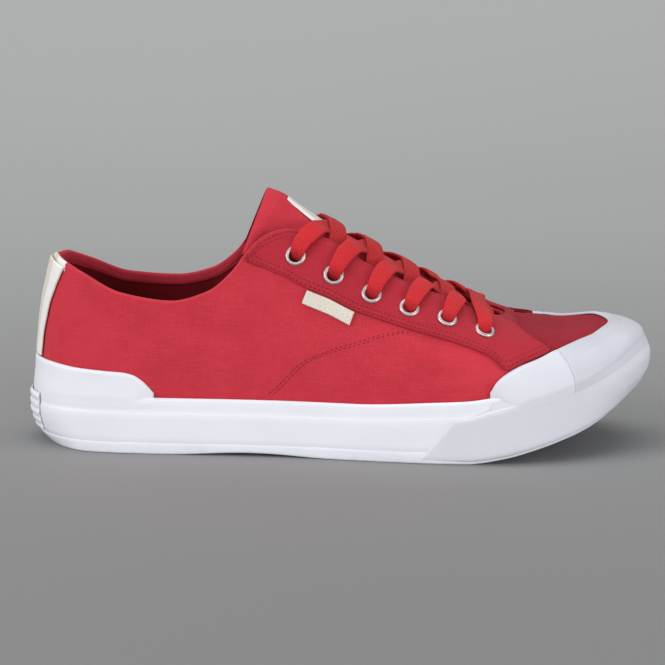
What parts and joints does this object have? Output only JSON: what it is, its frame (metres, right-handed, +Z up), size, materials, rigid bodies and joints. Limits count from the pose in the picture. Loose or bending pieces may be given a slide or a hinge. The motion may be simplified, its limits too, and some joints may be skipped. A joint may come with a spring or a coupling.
{
  "type": "skateboarding shoe",
  "caption": "Right low-top skateboarding shoe: hollow canvas upper with a laced throat and padded tongue, on a vulcanised rubber cup sole with toe tape, bumpers and heel guard.",
  "frame": {"origin": "on the floor, under the middle of the heel's flat spot", "axes": "+X points to the toe, +Y to the inner (medial) side of the foot, +Z up"},
  "size_m": [0.3015, 0.1155, 0.1237],
  "materials": {
    "canvas": "plain woven red cotton canvas, matt",
    "lining": "dark red drill lining, matt",
    "lace": "flat woven red lace",
    "foam": "red cloth over a foam insole",
    "cream": "off-white woven tape and label",
    "rubber_white": "cool white vulcanised rubber, satin",
    "rubber_sole": "cool white tread rubber, matt",
    "metal": "pale silver-rose eyelets"
  },
  "bodies": {
    "root": {"outsole": "rubber_sole", "sole_cup": "rubber_white", "toe_tape": "rubber_white", "heel_plate": "rubber_white", "insole": "foam", "upper": "canvas", "eyestay": "canvas", "toe_cap": "rubber_white", "side_bumper_lateral": "rubber_white", "side_bumper_medial": "rubber_white", "heel_guard": "rubber_white", "heel_strip": "cream", "tongue": "canvas", "tongue_label": "cream", "side_tag": "cream", "lace_bar": "lace", "eyelet_l1": "metal", "eyelet_l2": "metal", "eyelet_l3": "metal", "eyelet_l4": "metal", "eyelet_l5": "metal", "eyelet_l6": "metal", "eyelet_m1": "metal", "eyelet_m2": "metal", "eyelet_m3": "metal", "eyelet_m4": "metal", "eyelet_m5": "metal", "eyelet_m6": "metal", "lace_cross_1": "lace", "lace_cross_2": "lace", "lace_cross_3": "lace", "lace_cross_4": "lace", "lace_cross_5": "lace"}
  },
  "joints": []
}
